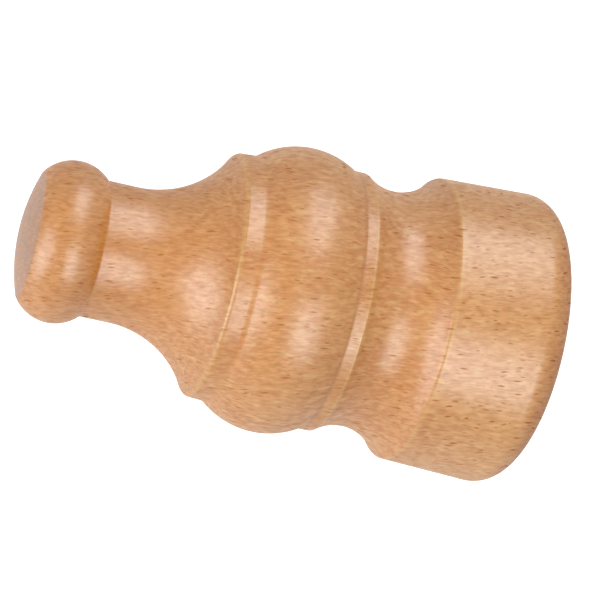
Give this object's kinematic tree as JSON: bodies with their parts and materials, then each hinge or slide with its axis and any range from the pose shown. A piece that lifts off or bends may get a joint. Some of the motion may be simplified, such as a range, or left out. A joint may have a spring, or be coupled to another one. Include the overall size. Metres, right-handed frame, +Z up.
{
  "type": "curtain pole finial",
  "caption": "Turned beech finial with a knob, bell, bead, cove and flared base, and a blind socket that caps the end of a wooden curtain pole.",
  "frame": {"origin": "centre of the pole socket's mouth, on the turning axis", "axes": "X is the turning axis: the pole leaves along +X and the knob points along -X. +Z is up with the pole hung level; the part is the same all round its axis"},
  "size_m": [0.0738, 0.0422, 0.0422],
  "materials": {
    "lacquered_beech": "beech with a clear honey-coloured gloss lacquer"
  },
  "bodies": {
    "root": {"turned_finial": "lacquered_beech"}
  },
  "joints": []
}
